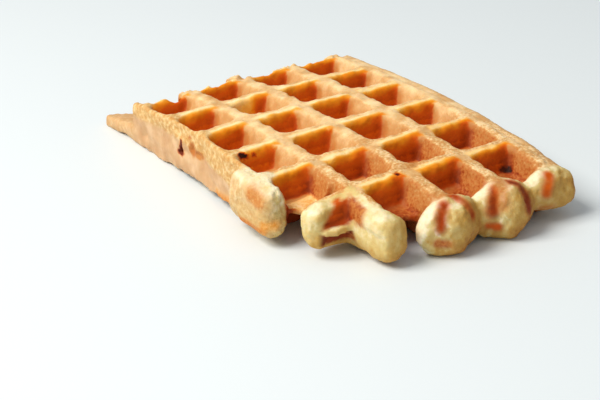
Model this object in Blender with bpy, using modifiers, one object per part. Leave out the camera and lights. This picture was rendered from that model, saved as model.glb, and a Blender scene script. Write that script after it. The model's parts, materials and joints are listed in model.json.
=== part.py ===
"""One thick rectangular waffle from a deep iron.

Blender 4.5, metres, +Z up. The waffle lies flat: its long side runs along Y, its columns along X.
It is one solid, joined from the forms that dough takes in an iron: a slab, bars and rounded noses
where the dough stopped flowing. The iron's blunt pins are then cut out of both faces, which leaves
the ridges and a thin web between the upper and the lower pockets.

Places on the waffle are given on its grid. A column place of 0 is the left ridge and 4 the right
one. A row place of 0 is the back ridge and 6 the front one. One step is one pocket.
"""

import math
import random

import bmesh
import bpy
from mathutils import Matrix, Vector, noise

MM = 0.001

# Driving dimensions
PITCH = 24.0 * MM          # from one ridge to the next, both ways
COLUMNS = 4
ROWS = 6
THICKNESS = 21.0 * MM      # over the ridges of both faces
WEB = 2.6 * MM             # dough left between an upper and a lower pocket
POCKET_RIM = 18.2 * MM     # opening of a pocket
POCKET_FLOOR = 12.0 * MM   # its floor, narrower because the walls slope
POCKET_CORNER = 2.4 * MM   # radius of its upright corners
LIP = 1.0 * MM             # rounded edge from a ridge's top into a pocket
UNEVEN = 0.5 * MM          # how far the dough strays from the iron's exact shape
UNEVEN_SIZE = 9.0 * MM     # size of those swells
CRAG = 1.5 * MM            # how far the torn left side juts in and out
CRAG_SIZE = 5.0 * MM
SAG_ACROSS = 0.0101        # drop of the arched waffle, in steps, at one step from the crown
SAG_ALONG = 0.0181
CROWN = (2.2, 3.05)        # grid place of the top of the arch
LAND = 1.7 * MM            # how much of the lowest ridges is pressed flat by the table
TORN_EDGE = 0.09           # column place up to which the left side is torn
SEED = 4

# A cutter reaches this far out of the dough
OVERLAP = 1.0 * MM
# Points closer than this are one point
SPECK = 0.02 * MM
# A cut doesn't move points that lie this close to its plane
CUT_SNAP = 0.0001 * MM

HALF = THICKNESS / 2
POCKET_DEPTH = (THICKNESS - WEB) / 2

draw = random.Random(SEED)


def at(column, row, height=HALF):
    """A place on the grid as a point in metres, with the crown of the arch at the origin."""
    return Vector(((column - CROWN[0]) * PITCH, (CROWN[1] - row) * PITCH, height))


def new_collection(name):
    collection = bpy.data.collections.new(name)
    bpy.context.scene.collection.children.link(collection)
    return collection


def keep_in(obj, collection):
    """Moves an object into one collection."""
    for owner in list(obj.users_collection):
        owner.objects.unlink(obj)
    collection.objects.link(obj)


def apply_modifiers(obj):
    """Replaces an object's mesh by what its modifiers make of it."""
    graph = bpy.context.evaluated_depsgraph_get()
    made = bpy.data.meshes.new_from_object(obj.evaluated_get(graph))
    obj.modifiers.clear()
    obj.data = made


def bevel(obj, width, segments):
    modifier = obj.modifiers.new("rounding", "BEVEL")
    modifier.width = width
    modifier.segments = segments
    modifier.limit_method = "ANGLE"


def bar(name, low, high, rounding, segments, collection):
    """A bar of dough between two grid corners given as (column, row, height)."""
    first = at(*low)
    last = at(*high)
    size = [abs(b - a) for a, b in zip(first, last)]
    bpy.ops.mesh.primitive_cube_add(size=1, location=(first + last) / 2)
    obj = bpy.context.object
    obj.name = name
    obj.scale = size
    bpy.ops.object.transform_apply(location=True, rotation=False, scale=True)
    bevel(obj, rounding, segments)
    apply_modifiers(obj)
    keep_in(obj, collection)
    return obj


def nose(name, place, reach, collection, sides=18):
    """A rounded lump of dough that stopped flowing: reach is its half size in metres."""
    bpy.ops.mesh.primitive_uv_sphere_add(segments=sides, ring_count=sides // 2, radius=1, location=place)
    obj = bpy.context.object
    obj.name = name
    obj.scale = reach
    bpy.ops.object.transform_apply(location=True, rotation=False, scale=True)
    keep_in(obj, collection)
    return obj


def plate(name, outline, low, high, rounding, collection):
    """A flat piece with an outline of grid places, from one height to another."""
    curve = bpy.data.curves.new(name, "CURVE")
    curve.dimensions = "2D"
    curve.fill_mode = "BOTH"
    curve.extrude = (high - low) / 2
    spline = curve.splines.new("POLY")
    spline.points.add(len(outline) - 1)
    for point, place in zip(spline.points, outline):
        corner = at(*place)
        point.co = (corner.x, corner.y, 0, 1)
    spline.use_cyclic_u = True
    drawn = bpy.data.objects.new(name, curve)
    drawn.location.z = (low + high) / 2
    collection.objects.link(drawn)
    bpy.context.view_layer.update()
    mesh = bpy.data.meshes.new_from_object(drawn.evaluated_get(bpy.context.evaluated_depsgraph_get()))
    obj = bpy.data.objects.new(name, mesh)
    mesh.transform(drawn.matrix_world)
    bpy.data.objects.remove(drawn)
    obj.name = name
    welded = bmesh.new()
    welded.from_mesh(mesh)
    bmesh.ops.remove_doubles(welded, verts=welded.verts, dist=SPECK)
    bmesh.ops.dissolve_limit(welded, angle_limit=math.radians(1), verts=welded.verts, edges=welded.edges)
    bmesh.ops.recalc_face_normals(welded, faces=welded.faces)
    welded.to_mesh(mesh)
    welded.free()
    collection.objects.link(obj)
    if rounding:
        bevel(obj, rounding, 2)
        apply_modifiers(obj)
    return obj


def pin(name, column, row, upper, collection):
    """One blunt pin of the iron: a tapered block with rounded upright corners and a flared root.

    Its sections are stacked from the pocket's floor to above the ridges, each a rounded square.
    """
    swell = draw.uniform(-0.25, 0.25) * MM
    lift = draw.uniform(-0.3, 0.2) * MM
    # Height above the pocket's floor and width there: tip, rounded foot, wall, lip and root
    sections = [
        (0.0, POCKET_FLOOR - 1.6 * MM),
        (0.7 * MM, POCKET_FLOOR + 0.3 * MM),
        (POCKET_DEPTH - LIP, POCKET_RIM - 0.5 * LIP),
        (POCKET_DEPTH, POCKET_RIM + LIP),
        (POCKET_DEPTH + OVERLAP, POCKET_RIM + 4.5 * LIP),
    ]
    shape = bmesh.new()
    bmesh.ops.create_cube(shape, size=1)
    upright = [edge for edge in shape.edges if abs(edge.verts[0].co.z - edge.verts[1].co.z) > 0.5]
    bmesh.ops.bevel(shape, geom=upright, offset=POCKET_CORNER / POCKET_RIM, segments=2,
                    affect="EDGES", profile=0.5)
    for vertex in shape.verts:
        height, width = sections[1] if vertex.co.z > 0 else sections[0]
        vertex.co = Vector((vertex.co.x * (width + swell), vertex.co.y * (width + swell), height))
    top = max(shape.faces, key=lambda face: face.calc_center_median().z)
    for below, above in zip(sections[1:], sections[2:]):
        made = bmesh.ops.extrude_face_region(shape, geom=[top])["geom"]
        bmesh.ops.delete(shape, geom=[top], context="FACES_ONLY")
        top = next(part for part in made if isinstance(part, bmesh.types.BMFace))
        widening = (above[1] + swell) / (below[1] + swell)
        for vertex in top.verts:
            vertex.co = Vector((vertex.co.x * widening, vertex.co.y * widening, above[0]))
    bmesh.ops.recalc_face_normals(shape, faces=shape.faces)
    mesh = bpy.data.meshes.new(name)
    shape.to_mesh(mesh)
    shape.free()
    place = at(column + 0.5, row + 0.5)
    place.x += draw.uniform(-0.3, 0.3) * MM
    place.y += draw.uniform(-0.3, 0.3) * MM
    if upper:
        place.z = HALF + WEB / 2 + lift
        mesh.transform(Matrix.Translation(place))
    else:
        place.z = HALF - WEB / 2 - lift
        mesh.transform(Matrix.Translation(place) @ Matrix.Rotation(math.pi, 4, "X"))
    obj = bpy.data.objects.new(name, mesh)
    collection.objects.link(obj)
    obj.hide_render = True
    obj.display_type = "WIRE"
    return obj


def slab(collection):
    """The main sheet of dough at full thickness, out to where the ridges and the web stop.

    Its left side is torn, so that side strays in and out; the notch at the front left and the open
    pocket beside it are where dough is missing.
    """
    torn_steps = 12
    torn_end = 4.3
    torn = []
    for step in range(torn_steps + 1):
        row = torn_end - (torn_end + 0.1) * step / torn_steps
        torn.append((0.04 + draw.uniform(-0.025, 0.03), row))
    front = [
        (4.05, -0.1),
        (4.05, 5.8),
        (1.92, 5.8),
        (1.74, 5.66),
        (1.58, 5.56),
        (1.3, 5.5),
        (1.0, 5.5),
        (0.93, 5.0),
        (0.9, 4.66),
        (0.6, 4.6),
        (0.42, 4.64),
        (0.3, 4.48),
    ]
    return plate("waffle", front + torn, 0, THICKNESS, 1.0 * MM, collection)


def turned(obj, place, degrees):
    """Turns a finished form about the upright line through a grid place."""
    middle = at(*place)
    turn = Matrix.Translation(middle) @ Matrix.Rotation(math.radians(degrees), 4, "Z")
    obj.data.transform(turn @ Matrix.Translation(-middle))


def ridge_ends(collection):
    """The rounded back ends of the long ridges, each as long as its dough ran."""
    lengths = (0.4, 0.26, 0.36, 0.33, 0.24)
    for column, length in enumerate(lengths):
        left = column - 0.2 if column else 0.0
        low = (left, 0.2, 1.2 * MM)
        high = (column + 0.22, -length, THICKNESS - 0.5 * MM)
        bar(f"back end {column}", low, high, 3.4 * MM, 2, collection)


def right_rim(collection):
    """The smooth, rounded right edge, wider than a ridge because the dough swelled there."""
    bar("right rim", (3.9, 5.6, 0.3 * MM), (4.33, -0.12, THICKNESS - 0.15 * MM), 5.2 * MM, 4, collection)


def torn_stub(collection):
    """The thick stump at the front end of the torn left ridge."""
    low = (-0.22, 4.53, 1.8 * MM)
    high = (0.24, 3.42, THICKNESS - 0.3 * MM)
    stump = bar("torn stub", low, high, 4.6 * MM, 3, collection)
    turned(stump, (0.0, 4.0), 4)


def thinned(obj, middle_height, near, far, keep):
    """Thins a form towards one end: at grid place far it keeps that share of its height."""
    start = at(*near)
    run = at(*far) - start
    for vertex in obj.data.vertices:
        along = (vertex.co - start).dot(run) / run.length_squared
        share = 1 + (keep - 1) * min(max(along, 0), 1)
        vertex.co.z = middle_height + (vertex.co.z - middle_height) * share


def finger(name, near, far, width, keep, heights, collection):
    """A blunt finger of dough from one grid place to another, its end and edges fully round."""
    run = at(*far) - at(*near)
    length = run.length / PITCH
    middle = ((near[0] + far[0]) / 2, (near[1] + far[1]) / 2)
    low = (middle[0] - length / 2, middle[1] + width / 2, heights[0])
    high = (middle[0] + length / 2, middle[1] - width / 2, heights[1])
    made = bar(name, low, high, 0.48 * width * PITCH, 4, collection)
    turned(made, middle, math.degrees(math.atan2(run.y, run.x)))
    thinned(made, (heights[0] + heights[1]) / 2 - 0.6 * MM, near, far, keep)


def front_noses(collection):
    """Dough that ran out past the last ridges and stopped in blunt fingers and round lumps.

    A finger has the places of its two ends, its width in steps, how much of its height its far end
    keeps, and its lowest and highest point.
    """
    full = (0.4 * MM, THICKNESS - 0.4 * MM)
    fingers = [
        ("short nose", (1.15, 5.0), (0.2, 5.03), 0.5, 0.72, full),
        ("leg", (0.98, 5.0), (1.12, 6.09), 0.46, 0.84, full),
        ("lump 3 along", (2.03, 5.4), (2.08, 6.33), 0.5, 0.95, full),
        ("lump 4 along", (3.05, 5.4), (3.1, 6.36), 0.54, 0.95, full),
        ("lump 5 along", (4.08, 5.3), (4.1, 6.24), 0.54, 0.8, (3.5 * MM, THICKNESS - 0.4 * MM)),
    ]
    for name, near, far, width, keep, heights in fingers:
        finger(name, near, far, width, keep, heights, collection)
    # Each lump has its place, its half size in steps, its middle height and its half height.
    # Lumps 3 and 4 hang a little below the ridges, so that the waffle stands on them in front.
    lumps = [
        ("lump 3 across", (2.06, 5.98), (0.56, 0.27), 9.9 * MM, 10.9 * MM),
        ("lump 3 belly", (2.1, 6.02), (0.42, 0.33), 9.7 * MM, 10.4 * MM),
        ("lump 4 across", (3.02, 5.99), (0.62, 0.26), 9.9 * MM, 10.9 * MM),
        ("lump 4 belly", (3.1, 6.06), (0.4, 0.33), 9.7 * MM, 10.4 * MM),
        ("lump 5 across", (3.92, 5.98), (0.46, 0.25), 12.6 * MM, 7.8 * MM),
    ]
    for name, place, reach, middle, half_height in lumps:
        size = (reach[0] * PITCH, reach[1] * PITCH, half_height)
        nose(name, at(*place, middle), size, collection)


def open_web(collection):
    """The thin sheet between the short nose and the leg, where the front left pocket is open."""
    outline = [(0.34, 4.95), (0.95, 4.95), (0.98, 5.45), (0.72, 5.36), (0.5, 5.4), (0.36, 5.3)]
    plate("open web", outline, HALF - 0.7 * WEB, HALF + 0.7 * WEB, 0, collection)


def flap(collection):
    """The thin tongue that squeezed out at the back left corner."""
    outline = [(0.0, 0.1), (0.8, 0.1), (0.72, -0.45), (0.45, -0.95), (0.2, -1.25), (0.02, -1.4),
               (-0.08, -1.33), (-0.06, -0.9)]
    plate("flap", outline, 4.6 * MM, 10.4 * MM, 1.6 * MM, collection)
    root = bar("flap root", (-0.01, 0.3, 0.5 * MM), (0.4, -0.75, 9.5 * MM), 3 * MM, 2, collection)
    thinned(root, 8 * MM, (0.1, -0.2), (0.1, -0.9), 0.5)


def torn_hole(collection):
    """A small deep gap in the torn side, under the left ridge."""
    size = (0.12 * PITCH, 0.07 * PITCH, 3.2 * MM)
    hole = nose("torn hole", at(-0.01, 1.53, 11.8 * MM), size, collection, sides=6)
    hole.hide_render = True
    hole.display_type = "WIRE"


def pins(collection):
    """The iron's pins in both faces, with one row before and one behind the full rows.

    Two more stood left of the torn stub and shaped its side.
    """
    cells = [(column, row) for column in range(COLUMNS) for row in range(-1, ROWS + 1)]
    cells += [(-1, 3), (-1, 4)]
    for upper in (True, False):
        face = "upper" if upper else "lower"
        for column, row in cells:
            pin(f"{face} pin {column} {row}", column, row, upper, collection)


def back_gaps(collection):
    """Where the back ridge didn't fill: round bites out of its top."""
    bites = [((0.62, -0.12), (0.22, 0.26), 0.66), ((1.5, -0.16), (0.4, 0.2), 0.8),
             ((2.45, -0.14), (0.26, 0.26), 0.66), ((3.4, -0.2), (0.36, 0.24), 0.72)]
    for number, (place, reach, height) in enumerate(bites):
        size = (reach[0] * PITCH, reach[1] * PITCH, 0.6 * HALF)
        middle = at(*place, THICKNESS * (0.6 + height / 2))
        bite = nose(f"back gap {number}", middle, size, collection, sides=12)
        bite.hide_render = True
        bite.display_type = "WIRE"


def combine(obj, collection, operation):
    """Joins a collection to an object, or cuts it out, and removes the collection's objects."""
    modifier = obj.modifiers.new(operation.lower(), "BOOLEAN")
    modifier.operation = operation
    modifier.operand_type = "COLLECTION"
    modifier.collection = collection
    modifier.solver = "MANIFOLD"
    apply_modifiers(obj)
    for part in list(collection.objects):
        bpy.data.objects.remove(part)
    bpy.data.collections.remove(collection)


def sag(point):
    """How far the arched waffle has dropped at a place, in metres."""
    across = point.x / PITCH
    along = point.y / PITCH
    return (SAG_ACROSS * across ** 2 + SAG_ALONG * along ** 2) * PITCH


def slice_rows(shape):
    """Cuts edges across the faces at each ridge, so that long flat faces can bend."""
    for row in range(ROWS + 1):
        everything = shape.verts[:] + shape.edges[:] + shape.faces[:]
        bmesh.ops.bisect_plane(shape, geom=everything, dist=CUT_SNAP, plane_co=at(0, row), plane_no=(0, 1, 0))


def slice_torn_side(shape):
    """Cuts the torn left side across at several heights, so that it can be uneven."""
    side = at(TORN_EDGE, 0).x
    for share in (0.18, 0.36, 0.54, 0.7, 0.85):
        faces = [face for face in shape.faces if all(vertex.co.x < side for vertex in face.verts)]
        edges = {edge for face in faces for edge in face.edges}
        corners = {vertex for face in faces for vertex in face.verts}
        bmesh.ops.bisect_plane(shape, geom=[*corners, *edges, *faces], dist=CUT_SNAP,
                               plane_co=(0, 0, share * THICKNESS), plane_no=(0, 0, 1))


def stray(point, size):
    """A smooth, repeatable wander in all three directions, of about one unit."""
    place = point / size
    return Vector([noise.noise(place + Vector((offset, 0, 0))) for offset in (0, 31.7, 77.3)])


def soften(shape):
    """Bends the waffle over its crown and lets the dough stray from the iron's exact form."""
    front_of_tear = at(0, 3.35).y
    back_of_tear = at(0, -0.05).y
    side = at(TORN_EDGE, 0).x
    for vertex in shape.verts:
        place = vertex.co.copy()
        vertex.co += stray(place, UNEVEN_SIZE) * UNEVEN
        if place.x < side and front_of_tear < place.y < back_of_tear:
            vertex.co.x += noise.noise(place / CRAG_SIZE) * CRAG
        vertex.co.z -= sag(place)


def press_flat(shape):
    """Flattens the lowest ridges, on which the waffle rests."""
    floor = min(vertex.co.z for vertex in shape.verts) + LAND
    everything = shape.verts[:] + shape.edges[:] + shape.faces[:]
    cut = bmesh.ops.bisect_plane(shape, geom=everything, dist=CUT_SNAP, plane_co=(0, 0, floor),
                                 plane_no=(0, 0, -1), clear_outer=True)
    rim = [part for part in cut["geom_cut"] if isinstance(part, bmesh.types.BMEdge)]
    bmesh.ops.holes_fill(shape, edges=rim, sides=0)


def finish(obj):
    """Turns the joined solid into the waffle as it lies on a table, centred over the origin."""
    shape = bmesh.new()
    shape.from_mesh(obj.data)
    bmesh.ops.remove_doubles(shape, verts=shape.verts, dist=SPECK)
    bmesh.ops.dissolve_degenerate(shape, edges=shape.edges, dist=SPECK)
    slice_rows(shape)
    slice_torn_side(shape)
    bmesh.ops.triangulate(shape, faces=shape.faces)
    soften(shape)
    press_flat(shape)
    bmesh.ops.triangulate(shape, faces=shape.faces)
    low = [min(vertex.co[axis] for vertex in shape.verts) for axis in range(3)]
    high = [max(vertex.co[axis] for vertex in shape.verts) for axis in range(3)]
    shift = Vector((-(low[0] + high[0]) / 2, -(low[1] + high[1]) / 2, -low[2]))
    bmesh.ops.translate(shape, vec=shift, verts=shape.verts)
    bmesh.ops.recalc_face_normals(shape, faces=shape.faces)
    shape.to_mesh(obj.data)
    open_edges = sum(1 for edge in shape.edges if len(edge.link_faces) != 2)
    size = [round((b - a) / MM, 1) for a, b in zip(low, high)]
    crown = [round(value / MM, 2) for value in shift]
    print(f"waffle: {len(shape.faces)} triangles, {open_edges} open edges, size {size} mm")
    print(f"crown at {crown} mm")
    shape.free()


def crust_material():
    """Golden baked crust, matt."""
    material = bpy.data.materials.new("golden waffle crust")
    material.use_nodes = True
    shader = material.node_tree.nodes["Principled BSDF"]
    shader.inputs["Base Color"].default_value = (0.62, 0.3, 0.09, 1)
    shader.inputs["Roughness"].default_value = 0.65
    shader.inputs["Metallic"].default_value = 0.0
    return material


def main():
    for obj in list(bpy.data.objects):
        bpy.data.objects.remove(obj)
    food = new_collection("waffle parts")
    forms = new_collection("dough forms")
    iron = new_collection("iron pins")
    waffle = slab(food)
    ridge_ends(forms)
    right_rim(forms)
    torn_stub(forms)
    front_noses(forms)
    open_web(forms)
    flap(forms)
    combine(waffle, forms, "UNION")
    pins(iron)
    back_gaps(iron)
    torn_hole(iron)
    combine(waffle, iron, "DIFFERENCE")
    finish(waffle)
    waffle.data.materials.clear()
    waffle.data.materials.append(crust_material())


main()
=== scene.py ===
# %% [markdown]
# A thick waffle, baked in a deep iron and left lying flat.
# The solid model gives its true form: ridges, pockets, lumps at the front and a torn left side.
# This lesson gives it a finer skin and a crust. Every place is taken from the solid model, in metres.

import json
import math

import bpy
import numpy as np
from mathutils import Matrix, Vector, noise

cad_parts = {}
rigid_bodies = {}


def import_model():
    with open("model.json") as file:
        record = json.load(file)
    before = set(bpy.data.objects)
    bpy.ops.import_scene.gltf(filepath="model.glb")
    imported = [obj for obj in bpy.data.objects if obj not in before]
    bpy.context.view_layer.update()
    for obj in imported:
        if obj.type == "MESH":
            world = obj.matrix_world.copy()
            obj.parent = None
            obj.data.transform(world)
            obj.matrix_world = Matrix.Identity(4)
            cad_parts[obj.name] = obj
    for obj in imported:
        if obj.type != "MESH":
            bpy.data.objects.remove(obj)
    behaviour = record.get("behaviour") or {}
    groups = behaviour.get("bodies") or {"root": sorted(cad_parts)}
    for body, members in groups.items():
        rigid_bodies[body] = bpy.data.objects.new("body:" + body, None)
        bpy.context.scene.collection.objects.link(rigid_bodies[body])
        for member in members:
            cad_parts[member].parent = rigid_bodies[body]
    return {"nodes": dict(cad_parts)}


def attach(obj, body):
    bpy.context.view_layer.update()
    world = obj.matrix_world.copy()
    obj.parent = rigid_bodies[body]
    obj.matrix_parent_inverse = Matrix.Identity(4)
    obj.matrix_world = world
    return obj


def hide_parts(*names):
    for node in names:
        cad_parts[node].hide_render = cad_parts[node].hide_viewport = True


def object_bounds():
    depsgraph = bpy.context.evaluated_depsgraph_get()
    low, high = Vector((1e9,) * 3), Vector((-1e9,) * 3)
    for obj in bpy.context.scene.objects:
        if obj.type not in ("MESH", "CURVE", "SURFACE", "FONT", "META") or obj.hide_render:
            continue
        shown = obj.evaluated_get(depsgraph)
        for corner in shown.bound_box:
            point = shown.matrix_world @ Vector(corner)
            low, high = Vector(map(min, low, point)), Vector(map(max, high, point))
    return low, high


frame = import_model()
cad_box = [list(corner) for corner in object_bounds()]
solid = frame["nodes"]["waffle"]
print("solid model:", len(solid.data.polygons), "triangles, box", cad_box)

# %% [markdown]
# The iron had blunt pins on a square grid, and everything on a waffle follows that grid.
# So places are easier to say in grid steps: column 0 is the left ridge and 4 the right one,
# row 0 is the back ridge and 6 the front one. Height is measured in the flat dough, in
# millimetres, before the waffle arched: 0 is the underside and 21 the top of the ridges.

# %% The waffle's own grid
MM = 0.001
STEP_MM = 24.0                 # from one ridge to the next
STEP = STEP_MM * MM
THICKNESS_MM = 21.0
CROWN_PLACE = (2.2, 3.05)      # column and row of the top of the arch
CROWN = Vector((3.28, -13.21, 24.71)) * MM
ARCH_ACROSS = 0.0101           # drop in steps at one step from the crown, to the side
ARCH_ALONG = 0.0181            # the same, to the front or back


def arch(across, along):
    """How far the arched waffle drops at a distance from its crown, both in steps."""
    return (ARCH_ACROSS * across ** 2 + ARCH_ALONG * along ** 2) * STEP


def place(column, row, height_mm):
    """A grid place as a point in metres on the arched waffle."""
    across = column - CROWN_PLACE[0]
    along = CROWN_PLACE[1] - row
    level = CROWN.z - THICKNESS_MM * MM + height_mm * MM - arch(across, along)
    return Vector((CROWN.x + across * STEP, CROWN.y + along * STEP, level))


def grid_places(points):
    """Columns, rows and heights in millimetres of many points at once."""
    across = (points[:, 0] - CROWN.x) / STEP
    along = (points[:, 1] - CROWN.y) / STEP
    height = (points[:, 2] - CROWN.z + THICKNESS_MM * MM + arch(across, along)) / MM
    return across + CROWN_PLACE[0], CROWN_PLACE[1] - along, height


print("middle of the front left pocket's web:", place(0.5, 5.5, 10.5))

# %% [markdown]
# The camera comes first, because all looks are judged through it. A long lens from low on the
# left keeps the ridges nearly parallel and lets them run into the distance.

# %% Camera
LENS = 90.1                                  # focal length in mm
CAMERA_FROM_CROWN = Vector((-288.63, -447.85, 223.32)) * MM
CAMERA_TURN = (64.265, 1.755, -31.642)       # degrees about X, Y and Z
camera_data = bpy.data.cameras.new("long lens")
camera_data.lens = LENS
camera_data.clip_start = 0.01
camera = bpy.data.objects.new("camera", camera_data)
bpy.context.scene.collection.objects.link(camera)
camera.location = CROWN + CAMERA_FROM_CROWN
camera.rotation_euler = [math.radians(angle) for angle in CAMERA_TURN]
bpy.context.scene.camera = camera
print("camera at", camera.location)

# %% [markdown]
# A finished surface needs a mesh of its own, because the solid model's mesh stays untouched.
# A copy is welded first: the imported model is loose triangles, and tools that smooth or cut need
# neighbours that share their corners.

# %% Copy the solid and weld it


def only(obj):
    """Selects one object alone and makes it active, as a click on it would."""
    bpy.ops.object.select_all(action="DESELECT")
    obj.select_set(True)
    bpy.context.view_layer.objects.active = obj


def apply_all(obj):
    """Applies every modifier, from the top down."""
    only(obj)
    for modifier in list(obj.modifiers):
        bpy.ops.object.modifier_apply(modifier=modifier.name)


WELD = 0.01 * MM
dough = bpy.data.objects.new("waffle_crust", solid.data.copy())
bpy.context.scene.collection.objects.link(dough)
dough.data.materials.clear()
only(dough)
bpy.ops.object.mode_set(mode="EDIT")
bpy.ops.mesh.select_all(action="SELECT")
bpy.ops.mesh.remove_doubles(threshold=WELD)
bpy.ops.object.mode_set(mode="OBJECT")
print("welded:", len(dough.data.vertices), "corners")

# %% [markdown]
# Steam leaves a few burst bubbles, small black pits in a pocket's wall and by its corners, and the
# torn side has a deep narrow hole with a shallow hollow beside it. They could be painted, but a real
# hole takes its own shadow from any side. Each is a small sphere, stretched in edit mode, and a
# Boolean modifier cuts them all out at once. The last number is the tone it gets later; for the two
# pits by the front right pocket's corner its near-black is partly painted shadow.

# %% Where bubbles burst
PITS = [
    # column, row, height in mm, half size in mm along X, Y and Z, tone
    (0.23, 3.11, 20.1, (1.1, 1.0, 0.6), 1.0),
    (0.29, 3.13, 19.4, (0.8, 0.7, 0.5), 1.0),
    (0.45, 3.13, 19.0, (0.4, 0.4, 0.3), 0.88),
    # These two are real pits, but their near-black tone is partly painted shadow for the shade in that
    # corner.
    (3.72, 5.24, 12.9, (2.2, 1.2, 0.7), 1.0),
    (3.81, 5.28, 12.6, (1.5, 1.4, 0.9), 1.0),
    (1.81, 5.03, 20.6, (0.7, 0.7, 0.9), 1.0),
    (0.08, 1.69, 17.2, (0.9, 0.8, 0.5), 0.66),
    (0.0, 1.37, 8.8, (5.6, 2.0, 1.0), 0.94),
    (0.0, 1.40, 10.2, (5.2, 1.2, 1.6), 0.94),
    (0.0, 1.42, 12.4, (4.6, 0.6, 2.0), 0.94),
    (0.03, 1.78, 12.8, (2.2, 2.0, 2.6), 0.62),
    (0.04, 1.98, 11.8, (1.8, 3.2, 1.4), 0.56),
]
print("pits:", len(PITS))

# %% Cut the pits
PIT_RAGGEDNESS = 0.25 * MM     # how far a sphere's corners wander
pit_tools = bpy.data.collections.new("pit tools")
bpy.context.scene.collection.children.link(pit_tools)
for pit_column, pit_row, pit_height, half_size, _ in PITS:
    middle = place(pit_column, pit_row, pit_height)
    bpy.ops.object.select_all(action="DESELECT")
    bpy.ops.mesh.primitive_ico_sphere_add(subdivisions=2, radius=MM, location=middle)
    pit = bpy.context.object
    bpy.ops.object.mode_set(mode="EDIT")
    bpy.ops.transform.resize(value=half_size)
    bpy.ops.transform.vertex_random(offset=PIT_RAGGEDNESS, seed=len(pit_tools.objects) + 1)
    bpy.ops.object.mode_set(mode="OBJECT")
    for owner in list(pit.users_collection):
        owner.objects.unlink(pit)
    pit_tools.objects.link(pit)
cut = dough.modifiers.new("pits", "BOOLEAN")
cut.operation = "DIFFERENCE"
cut.operand_type = "COLLECTION"
cut.collection = pit_tools
cut.solver = "MANIFOLD"
apply_all(dough)
for pit in list(pit_tools.objects):
    bpy.data.objects.remove(pit)
bpy.data.collections.remove(pit_tools)
print("after the cut:", len(dough.data.vertices), "corners")

# %% [markdown]
# Now the skin. The solid has long flat triangles, which can't carry a crumb. A voxel remesh
# wraps it in even small quads and rounds its sharp corners as baking does. A Smooth modifier
# takes out the steps that voxels leave.

# %% A fine, even skin
VOXEL = 0.62 * MM
remesh = dough.modifiers.new("skin", "REMESH")
remesh.mode = "VOXEL"
remesh.voxel_size = VOXEL
smooth = dough.modifiers.new("soft", "SMOOTH")
smooth.factor = 0.5
smooth.iterations = 5
apply_all(dough)
print("skin:", len(dough.data.polygons), "faces")

# %% [markdown]
# Where did the dough touch iron, where did it bake free, and where was it torn? The iron's part is
# a distance in millimetres from its pins. The rest becomes weights from 0 to 1 on every point,
# worked out from the grid. The same findings steer the relief below and the colours later.

# %% Helpers that read the mesh into arrays


def ramp(value, low, high):
    """Goes smoothly from 0 at low to 1 at high, which may be the smaller one."""
    share = np.clip((value - low) / (high - low), 0, 1)
    return share * share * (3 - 2 * share)


def read_points(obj, what):
    """The mesh's point places or point normals as rows of three numbers."""
    values = np.zeros(len(obj.data.vertices) * 3, np.float32)
    if what == "place":
        obj.data.vertices.foreach_get("co", values)
    else:
        obj.data.vertex_normals.foreach_get("vector", values)
    return values.reshape(-1, 3).astype(float)


# %% Where the iron touched

# A pin's half width in mm at some depths below the ridge tops, from its root to its tip
PIN_DEPTHS = (0.0, 1.0, 8.5, 9.2)
PIN_HALF_WIDTHS = (9.6, 8.85, 6.15, 5.2)
PIN_COLUMNS = (0, 4)           # where the pins begin and end, in steps
PIN_ROWS = (-1, 7)


def read_iron(obj):
    """Depth under the nearer face, distance outside the nearest pin's wall, and if a pin was there."""
    column, row, height = grid_places(read_points(obj, "place"))
    depth = np.minimum(height, THICKNESS_MM - height)
    off_column = np.abs(column - np.floor(column) - 0.5) * STEP_MM
    off_row = np.abs(row - np.floor(row) - 0.5) * STEP_MM
    outside = np.maximum(off_column, off_row) - np.interp(depth, PIN_DEPTHS, PIN_HALF_WIDTHS)
    had_pin = (column >= PIN_COLUMNS[0]) & (column < PIN_COLUMNS[1])
    had_pin &= (row >= PIN_ROWS[0]) & (row < PIN_ROWS[1])
    return depth, outside, had_pin


# %% Where it was torn, rough or free


def read_regions(obj):
    """Weights for dough that the iron's plan doesn't explain: torn, rough and free."""
    column, row, height = grid_places(read_points(obj, "place"))
    faces_left = -read_points(obj, "normal")[:, 0]
    behind_stump = ramp(row, 3.6, 3.4)
    left_ridge = ramp(column, 0.3, 0.2) * behind_stump * ramp(height, 12.0, 15.0)
    lit_left_side = ramp(column, 0.2, 0.1) * ramp(faces_left, 0.0, 0.45) * behind_stump
    flap = ramp(row, -0.15, -0.4) * ramp(column, 0.9, 0.6) * ramp(height, 13.0, 11.0)
    torn = np.maximum.reduce([left_ridge, lit_left_side, flap])
    # The torn side is rough along its top, in a band that grows wider towards the front
    rough_from = np.interp(row, (0, 1.2, 2, 3.2), (14, 13, 11, 8))
    rough_band = ramp(height, rough_from, rough_from + 2.5) * torn
    stump_end = ramp(row, 4.15, 4.4) * ramp(row, 4.8, 4.7)
    stump_end *= ramp(column, 0.4, 0.3) * ramp(column, -0.14, -0.02)
    rough = np.maximum.reduce([rough_band, stump_end, 0.4 * flap])
    # Free dough: the nose and the leg of the open pocket, the round lumps, and the stump
    nose = ramp(row, 4.85, 5.05) * ramp(column, 0.56, 0.4)
    leg = ramp(row, 5.42, 5.72) * ramp(column, 1.45, 1.35) * ramp(column, 0.6, 0.7)
    lumps = ramp(row, 5.78, 5.98) * ramp(column, 1.45, 1.55)
    stump = ramp(row, 3.4, 3.6) * ramp(column, 0.32, 0.22)
    free = np.maximum.reduce([nose, leg, lumps, stump])
    return torn, rough, free


depth, outside, had_pin = read_iron(dough)
torn, rough, free = read_regions(dough)
print("torn points:", int((torn > 0.5).sum()), "free points:", int((free > 0.5).sum()))

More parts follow.
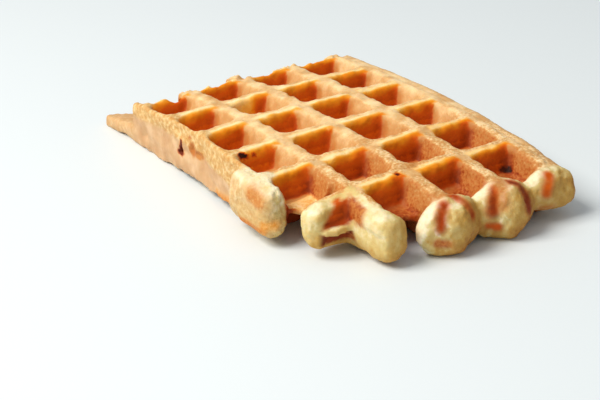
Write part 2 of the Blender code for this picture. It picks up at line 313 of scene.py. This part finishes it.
# %% [markdown]
# Ridges come out of an iron fuller than its grooves: their edges round over, so that the top
# flows into the wall. A Smooth modifier does that, held by a vertex group to the lips, the torn
# edge and the thin web. A longer one rounds the lumps, which swelled with nothing to hold them.
# Modifiers suit this better than sculpting, because each keeps to its group and can be set again.

# %% Groups for the relief


def give_group(obj, name, weights):
    """Stores weights, in tenths, as a vertex group, which modifiers can follow."""
    group = obj.vertex_groups.new(name=name)
    for tenths in range(1, 11):
        chosen = np.nonzero(np.round(weights * 10) == tenths)[0]
        group.add(chosen.tolist(), tenths / 10, "REPLACE")
    return group.name


column, row, height = grid_places(read_points(dough, "place"))
torn_edge = ramp(height, 13.0, 18.0) * ramp(column, 0.3, 0.1) * ramp(row, 3.6, 3.4)
thin_web = ramp(height, 14.0, 13.0) * ramp(row, 5.1, 5.2)
thin_web *= ramp(column, 0.34, 0.42) * ramp(column, 0.95, 0.85)
lip = ramp(depth, 4.0, 1.0) * had_pin
soft = give_group(dough, "soft", np.maximum.reduce([lip, torn_edge, 0.6 * thin_web]))
lumps = give_group(dough, "lumps", free * ramp(row, 5.4, 5.8))
lips = give_group(dough, "lips", lip * (1 - torn_edge))
crumbly = give_group(dough, "crumbly", np.maximum(0.2 * torn, rough * ramp(row, 3.4, 4.4)))
creased = give_group(dough, "creased", free * (1 - thin_web) * np.interp(row, (4.5, 4.8), (0.4, 1)))
back = give_group(dough, "back", ramp(height, 13.0, 19.0) * ramp(row, 0.13, 0.02) * ramp(column, 0.1, 0.3))
for name, group, times in (("rounded lips", soft, 14), ("rounded lumps", lumps, 50)):
    rounding = dough.modifiers.new(name, "SMOOTH")
    rounding.factor = 0.7
    rounding.iterations = times
    rounding.vertex_group = group
print("groups:", [group.name for group in dough.vertex_groups])

# %% [markdown]
# Then Displace modifiers add what dough has and iron hasn't: broad swells all over, wavy lips
# where the pockets begin, crags where it was torn, creases in the free dough, a back ridge that
# filled badly, and a fine grain. Their clouds are measured in millimetres.

# %% Relief


def add_relief(obj, name, size_mm, strength_mm, group="", turbulence=2, direction="NORMAL", middle=0.5):
    """A Displace modifier with clouds of a given size. It moves nothing where they are at the middle."""
    clouds = bpy.data.textures.new(name, "CLOUDS")
    clouds.noise_scale = size_mm * MM
    clouds.noise_depth = turbulence
    modifier = obj.modifiers.new(name, "DISPLACE")
    modifier.texture = clouds
    modifier.texture_coords = "LOCAL"
    modifier.direction = direction
    modifier.strength = strength_mm * MM
    modifier.mid_level = middle
    modifier.vertex_group = group


add_relief(dough, "swells", size_mm=8.0, strength_mm=0.8)
add_relief(dough, "wavy lips", size_mm=4.6, strength_mm=1.3, group=lips)
add_relief(dough, "crags", size_mm=2.4, strength_mm=2.0, group=crumbly, turbulence=3)
add_relief(dough, "creases", size_mm=5.0, strength_mm=1.8, group=creased, turbulence=4, middle=0.2)
add_relief(dough, "bad filling", size_mm=5.0, strength_mm=7.0, group=back, direction="Z", middle=0.62)
add_relief(dough, "grain", size_mm=1.6, strength_mm=0.22)
print("modifiers:", [modifier.name for modifier in dough.modifiers])
apply_all(dough)
dough.vertex_groups.clear()

# %% [markdown]
# That skin has more triangles than the shape needs. Decimate keeps them where the surface
# bends and drops them where it is flat. Relief can push a point a little past the solid model's
# box, so the last step brings such points back to it.

# %% Thin the skin
MOST_TRIANGLES = 190000
triangles = sum(len(face.vertices) - 2 for face in dough.data.polygons)
thin = dough.modifiers.new("thin", "DECIMATE")
thin.ratio = min(1.0, MOST_TRIANGLES / triangles)
apply_all(dough)
spots = np.clip(read_points(dough, "place"), np.array(cad_box[0]), np.array(cad_box[1]))
dough.data.vertices.foreach_set("co", spots.astype(np.float32).ravel())
dough.data.update()
only(dough)
bpy.ops.object.shade_smooth()
print("thinned from", triangles, "to", len(dough.data.polygons), "triangles")

# %% [markdown]
# The colours follow how each place was baked. A flat picture can't follow that into every pocket,
# so it is worked out as seven numbers per point, from 0 to 1, which the material reads by name.
# Two are tones, from pale to burnt: browning for crust, and free_tone for dough that ran free.
# The others say how much of a look a point has: oiled, grain, torn, rough and free.

# %% What the colours start from


def wander(points, size_mm):
    """Smooth noise from about -1 to 1, with swells of a given size."""
    return np.array([noise.noise(Vector(point) / (size_mm * MM)) for point in points])


points = read_points(dough, "place")
normal = read_points(dough, "normal")
column, row, height = grid_places(points)
depth, outside, had_pin = read_iron(dough)
torn, rough, free = read_regions(dough)
ragged = wander(points, 3.0)
print("points to colour:", len(points))

# %% [markdown]
# Baking paints by touch, so each point needs its place in its pocket: how far across the pocket,
# how far in front of its back wall, and how much it counts as wall or as floor. Each pocket also
# took its colour a little differently, which one seeded table of small numbers gives.

# %% Each point's place in its pocket
RIDGE_HALF = 0.13              # half a ridge's width near its top, in steps
FRONT_ROW = 4.95               # where the front row of pockets begins, with its back ridge
pocket_column = np.clip(np.floor(column), 0, 3).astype(int)
pocket_row = np.clip(np.floor(row), 0, 6).astype(int)
own_tone = np.random.default_rng(7).uniform(-1, 1, (4, 7))[pocket_column, pocket_row]
across_pocket = (column - pocket_column - RIDGE_HALF) / (1 - 2 * RIDGE_HALF)
past_back_wall = (row - pocket_row) * STEP_MM - STEP_MM / 2 + np.interp(depth, PIN_DEPTHS, PIN_HALF_WIDTHS)
wall = ramp(outside, 2.6, 1.4) * ramp(outside, -2.2, -1.0) * had_pin
wall *= ramp(np.abs(normal[:, 2]), 0.97, 0.7)
on_floor = ramp(depth, 6.0, 8.0) * ramp(np.abs(normal[:, 2]), 0.6, 0.9) * had_pin
front_rows = ramp(row, 3.3, 4.4)
print("wall points:", int((wall > 0.5).sum()), "floor points:", int((on_floor > 0.5).sum()))

# %% [markdown]
# The walls that face the front are darker and redder than the others. That is partly browning, as the
# dough rose and pressed them against the oiled iron, and partly painted shade, as they turn away from
# the window. They take in the lip above them, between the crossings of the ridges. These walls are
# neither torn nor free, even next to the torn side.

# %% Which walls face the front
turned_front = ramp(-normal[:, 1] + 0.5 * normal[:, 0], 0.1, 0.5)
back_half = ramp(row - np.floor(row), 0.72, 0.55)
# Walls that face the front take the darker oiled tones below: partly browning, partly painted shade.
faces_front = turned_front * wall * back_half
front_wall_share = faces_front * ramp(column, 0.12, 0.2) * ramp(row, FRONT_ROW, 4.85)
torn, rough, free = torn * (1 - front_wall_share), rough * (1 - front_wall_share), free * (1 - front_wall_share)
past_crest = (row - np.round(row)) * STEP_MM
between_crossings = ramp(np.abs(column - pocket_column - 0.5) * STEP_MM, 10.2, 8.6)
front_lip = ramp(past_crest, -0.8, 0.4) * ramp(past_crest, 6.0, 4.5) * ramp(depth, 6.0, 4.0)
front_lip *= ramp(normal[:, 0], -0.6, -0.25)
faces_front = np.maximum(faces_front, front_lip * between_crossings * had_pin)
print("front-facing points:", int((faces_front > 0.5).sum()))

# %% [markdown]
# Such a wall runs from gold at its lip to red-brown at the floor: partly browning, partly painted
# shade that deepens into the pocket. At its right end the brown climbs: to a narrow gold lip in the back
# rows, and almost to the top in the front rows. One wall, in the second row, hardly browned on its left.
# On the underside of the front rows they get the darkest tone, which is painted shade. So the tone is
# read from the depth below the ridge tops, shifted by such things.

# %% Tones of the walls that face the front
FRONT_WALL_DEPTHS = (0, 0.7, 2.0, 4.0, 7.0, 9.0)          # mm below the ridge tops
FRONT_WALL_TONES = (0.08, 0.2, 0.36, 0.5, 0.68, 0.8)
DARKEST_FRONT_WALL = 0.88
UNDERSIDE_PAINTED_SHADE = 0.92
under_lip = ramp(depth - np.interp(row, (2.5, 3.5), (0.0, -1.6)), 0.0, 3.0)
climb = 3.1 * ramp(across_pocket, 0.6, 0.9) * under_lip - 0.8 * ramp(across_pocket, 0.4, 0.1)
climb += 0.4 * ramp(row, 0.5, 0.2)
browned_and_shaded_depth = depth + 1.3 * np.clip(past_crest - 0.6, -1.5, 2.0) * (depth < 6)
browned_and_shaded_depth += 0.8 * ragged + 0.5 * own_tone + climb - 0.9
# Darker with depth: partly browning, partly painted shade deeper in the pocket.
front_tone = np.interp(browned_and_shaded_depth, FRONT_WALL_DEPTHS, FRONT_WALL_TONES)
front_tone += 0.05 * ramp(column, 2.8, 3.2) + front_rows * np.interp(depth, (0, 5, 8), (0.04, 0.05, 0.16))
front_tone = np.minimum(front_tone, DARKEST_FRONT_WALL)
pale_wall = (pocket_column == 1) * (pocket_row == 1) * ramp(column, 1.66, 1.5) * ramp(depth, 8.5, 5.5)
front_tone *= 1 - 0.5 * pale_wall
# Painted shade: front walls on the underside of the front rows get the darkest tone, where a shadow lies.
front_tone = np.where((height < 10) & (row > 3.9), UNDERSIDE_PAINTED_SHADE, front_tone)
print("mean tone:", round(float(front_tone[faces_front > 0.5].mean()), 3))

# %% [markdown]
# The other walls turn a dull tan, with painted shade that darkens them towards the pocket's back
# corner, and the ridge tops a mottled lighter tan. The two front rows baked against a drier iron, so
# there these are darker and grainy. Floors are even: tan, red-brown in the front row, and pale gold in
# the pocket that broke open at the left. A web is the thin dough between a pocket's floor and the one below.

# %% Side walls, ridge tops and floors
SIDE_WALL_DEPTHS = (0, 1, 4, 9)                           # mm below the ridge tops
SIDE_WALL_TONES = (0.26, 0.3, 0.35, 0.42)
FLOOR_TONE = 0.5
FRONT_FLOOR_TONE = 0.78
PALE_FLOOR_TONE = 0.26
FRONT_WEB_TONE = 0.8
side_tone = np.interp(depth, SIDE_WALL_DEPTHS, SIDE_WALL_TONES) + 0.26 * front_rows + 0.05 * own_tone
# Painted shade: side walls darken towards the back corner of their pocket, where shade falls.
side_tone += 0.26 * ramp(past_back_wall + ragged, 5.0, 0.5) * ramp(depth, 0.5, 4.0)
top_tone = 0.26 + 0.12 * wander(points, 6.0) + 0.06 * front_rows
pale_floor = (row > 4.3) & (row < 4.9) & (column < 1)
floor_tone = np.where(row > FRONT_ROW, FRONT_FLOOR_TONE, FLOOR_TONE)
floor_tone = np.where(pale_floor, PALE_FLOOR_TONE, floor_tone)
browning = top_tone * (1 - wall) + wall * side_tone
browning += (front_tone - browning) * faces_front
browning += (floor_tone - browning) * on_floor
front_web = (row > 5.1) & (row < 5.95) & (column > 1.02) & (column < 3.9) & (height < 13.5) & (outside < 0.6)
browning = np.where(front_web, FRONT_WEB_TONE, browning)
oiled = faces_front * (1 - on_floor) + 0.5 * pale_floor * on_floor
faces_left = ramp(-normal[:, 0], 0.2, 0.7)
grain = np.maximum(wall * faces_left, 0.8 * (1 - faces_front)) * front_rows * ramp(past_back_wall, 0.5, 3.5)
print("mean browning:", round(float(browning.mean()), 3))

# %% [markdown]
# The front left pocket lost its front. Only the right part of its wall touched iron long enough
# to brown, and the wall of the leg beside it is grainy near the top and cream below. Under the
# web a dark patch in the lower pocket is painted shade.

# %% The open front left pocket
LOWER_POCKET_TOP = 9.5                                    # heights in mm
WALL_FOOT = 13.0
WALL_FOOT_TONE = 0.84
WALL_TONE = 0.7
open_cell = (row > FRONT_ROW) & (column < 1.02)
open_pocket = open_cell & (height > LOWER_POCKET_TOP)
hollow_side = column - np.interp(height, (12.5, 19), (0.35, 0.66))
in_hollow = ramp(hollow_side, -0.06, 0.06) * ramp(row + 0.03 * ragged, 5.66, 5.5) * ramp(height, 10.6, 11.2)
web_front = ramp(row + 0.01 * ragged - np.interp(column, (0.5, 0.75), (5.26, 5.32)), 0, 0.05)
web_front *= (height < 13.5) * ramp(column, 0.84, 0.78)
in_hollow *= 1 - web_front
near_pin = ramp(outside, 3.0, 1.8) * ramp(column, 0.8, 0.72)
touched = np.maximum.reduce([wall, near_pin, ramp(outside, 0.5, -0.5)])
free = np.where(open_pocket, 1 - np.clip(in_hollow * touched, 0, 1), free)
oiled = np.where(open_pocket & (column < 0.8), 1, oiled)
browning = np.where(open_pocket & (height < WALL_FOOT), WALL_FOOT_TONE, browning)
left_of_leg = open_pocket & (column < 0.92)
browning = np.where(left_of_leg, np.maximum(browning, WALL_TONE * in_hollow), browning)
# Painted shade: under the web a patch of wall loses its cream and takes the dark wall tone.
painted_shade_under_web = ramp(column, 0.27, 0.36) * ramp(row, 5.42, 5.36) * ramp(height, 4.4, 5.6)
free = np.where(open_cell & (height <= LOWER_POCKET_TOP), 1 - painted_shade_under_web * wall, free)
print("cream points in the open pocket:", int((free[open_pocket] > 0.5).sum()))

# %% [markdown]
# Dough that ran out past the iron stays cream. On it, light and shade are painted: palest on top
# and on the left, which face the window, and golden where it hangs low or faces the front, in shade.
# The round lumps get more painted shade on their right side.
# One sum of these sides gives the tone, and a little noise keeps it uneven.

# %% Free dough


def nose_or_lumps(nose_value, lump_value):
    """One value on the nose and the leg, another on the round lumps, and a short mix between them."""
    return np.interp(column, (1.2, 1.6), (nose_value, lump_value))


# Painted light and shade: sides facing up and left, towards the window, are made paler; low, right and front
# sides darker.
shaded_low_side = ramp(height, 13.0, 3.0)
shaded_right_side = ramp(normal[:, 0], -0.35, 0.6)
shaded_front_side = ramp(-normal[:, 1], 0.2, 0.9) * np.interp(column, (0.7, 2), (0.2, 1))
lit_left_side = ramp(-normal[:, 0], 0.35, 0.9) * nose_or_lumps(0.55, 2.0)
lit_upper_side = ramp(normal[:, 2], 0.5, 0.95) * ramp(np.hypot(column - 0.9, row - 4.9), 0.1, 0.6)
free_tone = nose_or_lumps(0.24, 0.18) + 0.22 * shaded_low_side
free_tone += nose_or_lumps(0.14, 0.24) * shaded_right_side
free_tone += 0.17 * shaded_front_side - 0.18 * lit_left_side - 0.17 * lit_upper_side + 0.08 * ragged
print("mean tone of free dough:", round(float(free_tone[free > 0.5].mean()), 3))

# %% [markdown]
# On the free dough the rims of pins left brown streaks, and the torn side browned where it lay
# on iron. Those are painted with a brush: a path of grid places, a radius and a tone. The burst
# bubbles get their tone in the same way, as blots of their own size.

# %% Brush strokes
STROKES = [
    # tone, oil from 0 to 1, radius in mm, then the path as column, row and height in mm
    (0.83, 1, 2.1, (1.91, 6.06, 19.2), (1.83, 6.13, 17.5), (1.77, 6.18, 13.3)),
    (0.5, 0, 1.8, (1.95, 5.86, 21.0), (2.12, 5.94, 20.7)),
    (0.84, 1, 1.7, (2.16, 5.98, 20.3), (2.23, 6.14, 18.2), (2.29, 6.21, 15.0)),
    (0.72, 0, 1.5, (1.72, 6.19, 7.6), (1.88, 6.26, 7.6)),
    (0.86, 1, 2.4, (2.86, 6.07, 19.4), (2.76, 6.14, 16.9), (2.71, 6.19, 13.6)),
    (0.9, 1, 2.1, (3.12, 6.03, 20.2), (3.24, 6.1, 18.8), (3.29, 6.2, 15.8), (3.27, 6.32, 12.2)),
    (0.5, 0, 2.4, (2.98, 5.94, 20.6), (2.95, 6.12, 19.0), (2.9, 6.2, 15.0)),
    (0.7, 1, 1.5, (2.66, 6.16, 8.0), (2.78, 6.24, 7.3)),
    (0.64, 1, 1.9, (3.84, 6.09, 19.4), (3.77, 6.17, 16.6), (3.72, 6.19, 14.4)),
    (0.5, 0, 2.0, (3.7, 6.12, 7.5), (3.85, 6.15, 7.2)),
    (0.5, 0.1, 3.4, (-0.19, 4.12, 17.4), (-0.17, 4.36, 16.2)),
    (0.5, 0.5, 2.2, (-0.2, 3.8, 4.4), (-0.17, 4.4, 5.4)),
    (0.36, 0.6, 2.2, (-0.16, 4.44, 8.0), (-0.04, 4.55, 8.2)),
    (0.44, 0.4, 1.9, (0.03, 2.6, 1.2), (0.0, 3.0, 1.6), (-0.02, 3.5, 2.2)),
]
BLOT_RIM = 0.3                 # mm that a pit's blot reaches past the pit
BURNT = 0.7                    # pits darker than this take the oiled look, which ends near black
grid_mm = np.column_stack([column * STEP_MM, row * STEP_MM, height])


def brush(path, radius_mm):
    """1 along a path of grid places and 0 away from it, with a soft, ragged edge."""
    stops = [np.array(stop) * (STEP_MM, STEP_MM, 1) for stop in path]
    nearest = np.full(len(grid_mm), np.inf)
    for start, end in zip(stops, stops[1:]):
        run = end - start
        share = np.clip((grid_mm - start) @ run / (run @ run), 0, 1)
        gap = np.linalg.norm(grid_mm - start - share[:, None] * run, axis=1)
        nearest = np.minimum(nearest, gap)
    return ramp(nearest + 0.4 * ragged, 1.9 * radius_mm, 0.3 * radius_mm)


painted = np.zeros(len(points))
for tone, oil, radius, *path in STROKES:
    stroke = brush(path, radius)
    grain = np.maximum(grain, 0.8 * stroke * (1 - oil))
    painted = np.maximum(painted, stroke)
    browning += (tone - browning) * stroke
    oiled += (oil - oiled) * stroke
for pit_column, pit_row, pit_height, half_size, tone in PITS:
    middle = (pit_column * STEP_MM, pit_row * STEP_MM, pit_height)
    blot = ramp(np.linalg.norm((grid_mm - middle) / (np.array(half_size) + BLOT_RIM), axis=1), 1.5, 1.0)
    painted = np.maximum(painted, blot)
    browning += (tone - browning) * blot
    oiled = np.maximum(oiled, blot * (tone > BURNT))
free *= 1 - painted
torn *= 1 - painted
print("strokes:", len(STROKES), "painted points:", int((painted > 0.5).sum()))

# %% [markdown]
# The stump at the left is part free dough and part broken open. Its outside is rough and flaky,
# its broken front end is a fine cream crumb, and its top is paler. So it takes a mix of the
# looks, and a tone of its own, with painted light that makes its left side paler.

# %% The stump
stump_skin = ramp(row, 3.4, 3.6) * ramp(row, 4.75, 4.65) * ramp(column, 0.32, 0.22)
stump_crumb = ramp(column, -0.12, 0.02) * ramp(row, 4.1, 4.3)
stump_top = ramp(height, 17.5, 20.0)
stump_torn = 0.85 * stump_skin * (1 - front_wall_share) * (1 - stump_crumb) * (1 - 0.8 * stump_top)
torn = np.maximum(torn, stump_torn * (1 - painted))
rough = np.maximum(rough, 0.8 * stump_skin * (1 - stump_crumb))
stump_tone = 0.16 + 0.1 * ramp(height, 15.0, 9.0) + 0.14 * ragged
# Painted light: the stump's left side, facing the window, is made paler.
stump_tone -= 0.12 * lit_left_side * ramp(row, 4.0, 3.7) + 0.1 * stump_top
free_tone = np.where(row < 4.8, stump_tone, free_tone)
print("torn points:", int((torn > 0.5).sum()), "rough points:", int((rough > 0.5).sum()))

# %% [markdown]
# The seven numbers are kept on the mesh as attributes. Unlike an image they need no unwrapping,
# and on a mesh this fine they are sharp enough.

# %% Keep the findings on the mesh


def store(obj, name, values):
    """Keeps one number per point on the mesh, for the material to read."""
    attribute = obj.data.attributes.new(name, "FLOAT", "POINT")
    attribute.data.foreach_set("value", np.clip(values, 0, 1).astype(np.float32))


FINDINGS = {
    "browning": browning,
    "free_tone": free_tone,
    "oiled": oiled,
    "grain": grain,
    "torn": torn,
    "rough": rough,
    "free": free,
}
for name, values in FINDINGS.items():
    store(dough, name, values)
    print(name, "is", round(float(dough.data.attributes[name].data[0].value), 2), "at the first point")

# %% [markdown]
# A waffle has four looks: dull tan crust, oiled walls that go from gold to red-brown, cream dough
# that ran free, and torn crumb, smooth or rough. Each is a band of colours. The first three
# follow the tone, from pale to burnt, and crumb follows clouds alone. The colours are sRGB hex
# values, as a paint program shows them, and one function turns them to the linear values that
# the shader counts in.

# %% Bands of colour
BANDS = {
    # place in the band, from 0 to 1, and the colour there
    # Its darker stops also carry the painted shade in the side walls' back corners.
    "tan": [
        (0.0, "#F8E8C4"),
        (0.2, "#F2D29E"),
        (0.34, "#D6A86E"),
        (0.48, "#C68A4C"),
        (0.68, "#BC7236"),
        (0.85, "#A24A1A"),
        (1.0, "#7E300E"),
    ],
    # Its darker stops carry browning and also the painted shade on walls that face the front.
    "oiled brown": [
        (0.0, "#FCEBC4"),
        (0.15, "#F7D592"),
        (0.28, "#F0B048"),
        (0.42, "#E88C10"),
        (0.6, "#D25A00"),
        (0.8, "#B04200"),
        (0.92, "#7A2800"),
        (1.0, "#2C0E04"),
    ],
    # Its pale end also carries the painted light on the free dough, its darker stops the painted shade.
    "cream": [
        (0.0, "#F6ECCA"),
        (0.2, "#DAC382"),
        (0.42, "#CA9E50"),
        (0.7, "#AC722C"),
        (1.0, "#824816"),
    ],
    "smooth crumb": [
        (0.34, "#C89C70"),
        (0.5, "#CFA67A"),
        (0.66, "#DCB88E"),
    ],
    "rough crumb": [
        (0.32, "#C89250"),
        (0.5, "#D6AC6E"),
        (0.68, "#E8CA94"),
    ],
}


def linear(hex_colour):
    """An sRGB hex colour as linear red, green, blue and full alpha."""
    shares = [int(hex_colour[at:at + 2], 16) / 255 for at in (1, 3, 5)]
    return [s / 12.92 if s <= 0.04045 else ((s + 0.055) / 1.055) ** 2.4 for s in shares] + [1.0]


print("bands:", list(BANDS), "and #808080 is", round(linear("#808080")[0], 3), "in the shader")

# %% [markdown]
# A material is a tree of nodes. One helper adds a node, sets it and links it in one call, so that
# the trees below read as a recipe. They start from the numbers kept on the mesh and from clouds
# of noise, whose sizes are those of real patches, specks and pores. The smallest are drawn at
# 1.1 mm, coarser than real ones, because finer ones wouldn't show.

# %% Nodes, stored numbers and clouds
CLOUDS = {
    # size in mm, and how much finer detail they have
    "patches": (5.0, 3.0),
    "specks": (1.1, 2.0),
    "cream": (2.6, 4.0),
    "smooth crumb": (7.0, 3.0),
    "rough crumb": (1.8, 4.0),
    "pores": (1.1, 4.0),
    "butter": (2.0, 3.0),
}
TIMES_PLUS = {"operation": "MULTIPLY_ADD"}     # the first input times the second, plus the third


def add_node(tree, kind, settings=None, output=0, **links):
    """Adds a node and gives back one of its outputs.

    Settings are the node's properties. Links are its inputs, by name or as _ and a number, and
    each gets a value or another node's output.
    """
    node = tree.nodes.new(kind)
    for name, value in (settings or {}).items():
        setattr(node, name, value)
    for name, value in links.items():
        socket = node.inputs[int(name[1:])] if name[1:].isdigit() else node.inputs[name]
        if isinstance(value, bpy.types.NodeSocket):
            tree.links.new(value, socket)
        else:
            socket.default_value = value
    return node.outputs[output]


def tones_and_clouds(tree):
    """The stored numbers and the clouds as two dictionaries of node outputs."""
    stored = {}
    for name in FINDINGS:
        stored[name] = add_node(tree, "ShaderNodeAttribute", {"attribute_name": name}, "Fac")
    on_dough = add_node(tree, "ShaderNodeTexCoord", None, "Object")
    clouds = {}
    for name, (size_mm, detail) in CLOUDS.items():
        per_metre = 1 / (size_mm * MM)
        clouds[name] = add_node(tree, "ShaderNodeTexNoise", None, "Fac", Vector=on_dough,
                                Scale=per_metre, Detail=detail)
    return stored, clouds


print("clouds:", list(CLOUDS))

# %% [markdown]
# On the waffle the looks run into each other without a seam. So one material holds all of them
# and lays them over each other, each as far as its stored number says. Patches and specks shift
# the tone of the crust first, so that no wall is one flat colour.

# %% Colour of the crust


def crust_colour(tree, stored, clouds):
    """The colour of each spot, from its tone, its look and the clouds."""
    # Specks show most where the crust is grainy
    patches = add_node(tree, "ShaderNodeMath", TIMES_PLUS, _0=clouds["patches"], _1=0.3, _2=-0.15)
    specks = add_node(tree, "ShaderNodeMath", TIMES_PLUS, _0=clouds["specks"], _1=0.5, _2=-0.25)
    grain = add_node(tree, "ShaderNodeMath", TIMES_PLUS, _0=stored["grain"], _1=1.2, _2=0.2)
    speckled = add_node(tree, "ShaderNodeMath", TIMES_PLUS, _0=specks, _1=grain, _2=patches)
    dull = add_node(tree, "ShaderNodeMath", {"operation": "ADD"}, _0=stored["browning"], _1=speckled)
    even = add_node(tree, "ShaderNodeMath", TIMES_PLUS, _0=speckled, _1=0.45, _2=stored["browning"])
    pale = add_node(tree, "ShaderNodeMath", {"operation": "SUBTRACT"}, _0=stored["free_tone"], _1=0.15)
    tones = {
        "tan": dull,
        "oiled brown": even,
        "cream": add_node(tree, "ShaderNodeMath", TIMES_PLUS, _0=clouds["cream"], _1=0.3, _2=pale),
        "smooth crumb": clouds["smooth crumb"],
        "rough crumb": clouds["rough crumb"],
    }
    looks = {}
    for name, tone in tones.items():
        looks[name] = add_node(tree, "ShaderNodeValToRGB", None, "Color", Fac=tone)
        band = looks[name].node.color_ramp
        while len(band.elements) < len(BANDS[name]):
            band.elements.new(0.5)
        for element, (spot, colour) in zip(band.elements, BANDS[name]):
            element.position = spot
            element.color = linear(colour)
    # Each layer covers the look below it and then stands in its place
    layers = (
        ("rough", "smooth crumb", "rough crumb"),
        ("oiled", "tan", "oiled brown"),
        ("free", "tan", "cream"),
        ("torn", "tan", "smooth crumb"),
    )
    for weight, below, above in layers:
        looks[below] = add_node(tree, "ShaderNodeMix", {"data_type": "RGBA"}, 2, _0=stored[weight],
                                _6=looks[below], _7=looks[above])
    return looks["tan"]


# %% [markdown]
# The crust is baked flour, egg, butter and sugar: matt and faintly translucent, with a dull shine
# where the butter came out. Its IOR is near that of starch and butter, light sinks in by a
# millimetre or two and comes back reddish, and pores roughen it, most of all the crumb.

# %% Baked waffle crust


def baked_waffle_crust():
    """Crust, cream and crumb in one material."""
    material = bpy.data.materials.new("baked waffle crust")
    material.use_nodes = True
    tree = material.node_tree
    shader = tree.nodes["Principled BSDF"]
    stored, clouds = tones_and_clouds(tree)
    tree.links.new(crust_colour(tree, stored, clouds), shader.inputs["Base Color"])
    # Pores are deepest where the dough is rough or free
    coarse = add_node(tree, "ShaderNodeMath", TIMES_PLUS, _0=stored["rough"], _1=1.6, _2=stored["free"])
    deep = add_node(tree, "ShaderNodeMath", {"operation": "ADD"}, _0=coarse, _1=0.7)
    pores = add_node(tree, "ShaderNodeMath", {"operation": "MULTIPLY"}, _0=clouds["pores"], _1=deep)
    bump = add_node(tree, "ShaderNodeBump", None, "Normal", Strength=0.4, Distance=0.5 * MM, Height=pores)
    tree.links.new(bump, shader.inputs["Normal"])
    # Butter came out in spots, so the shine is uneven and mostly dull
    shine = add_node(tree, "ShaderNodeMath", TIMES_PLUS, _0=clouds["butter"], _1=0.3, _2=0.42)
    tree.links.new(shine, shader.inputs["Roughness"])
    shader.inputs["IOR"].default_value = 1.45
    shader.inputs["Specular IOR Level"].default_value = 0.2
    shader.inputs["Subsurface Weight"].default_value = 0.12
    shader.inputs["Subsurface Radius"].default_value = (1.0, 0.45, 0.2)
    shader.inputs["Subsurface Scale"].default_value = 1.6 * MM
    return material


dough.data.materials.clear()
dough.data.materials.append(baked_waffle_crust())
dough.data.polygons.foreach_set("material_index", [0] * len(dough.data.polygons))
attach(dough, "root")
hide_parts("waffle")
print("material:", dough.data.materials[0].name)

# %% [markdown]
# A pale matt table top gives the waffle a plain ground and throws soft light back up at it. It is
# a wide disc, so that its edge stays far away.

# %% Table
TABLE_RADIUS = 4.0             # in metres
bpy.ops.object.select_all(action="DESELECT")
bpy.ops.mesh.primitive_circle_add(vertices=96, radius=TABLE_RADIUS, fill_type="NGON", location=(0, 0, 0))
table = bpy.context.object
table.name = "table"
table_paint = bpy.data.materials.new("pale matt table")
table_paint.use_nodes = True
paint_shader = table_paint.node_tree.nodes["Principled BSDF"]
paint_shader.inputs["Base Color"].default_value = linear("#E2ECF2")
paint_shader.inputs["Roughness"].default_value = 0.6
table.data.materials.append(table_paint)
print("table:", TABLE_RADIUS, "m in radius")

# %% [markdown]
# Daylight comes from a large high window on the left. It rakes over the ridges, fills the walls
# that face left, touches the lips and leaves the walls that face the viewer in warm shade. A wide
# dim ceiling and an even sky keep the shadows pale.

# %% Daylight


def sheet_of_light(name, middle, side, watts, colour):
    """A soft square light, side metres wide, that faces the middle of the table."""
    lamp = bpy.data.lights.new(name, "AREA")
    lamp.shape = "RECTANGLE"
    lamp.size = side
    lamp.size_y = side
    lamp.energy = watts
    lamp.color = linear(colour)[:3]
    obj = bpy.data.objects.new(name, lamp)
    bpy.context.scene.collection.objects.link(obj)
    obj.location = middle
    obj.rotation_euler = Vector(middle).to_track_quat("Z", "Y").to_euler()
    return obj


window = sheet_of_light("window", middle=(-0.8, 0.12, 1.0), side=0.7, watts=18, colour="#FFF8EE")
ceiling = sheet_of_light("ceiling", middle=(-0.2, -0.3, 1.3), side=1.6, watts=1.5, colour="#FFFDF8")
sky = bpy.data.worlds.new("daylight")
bpy.context.scene.world = sky
sky.use_nodes = True
background = sky.node_tree.nodes["Background"]
background.inputs["Color"].default_value = linear("#F0F1F2")
background.inputs["Strength"].default_value = 0.4
bpy.context.scene.view_settings.view_transform = "Standard"
print("lights:", window.name, "and", ceiling.name)
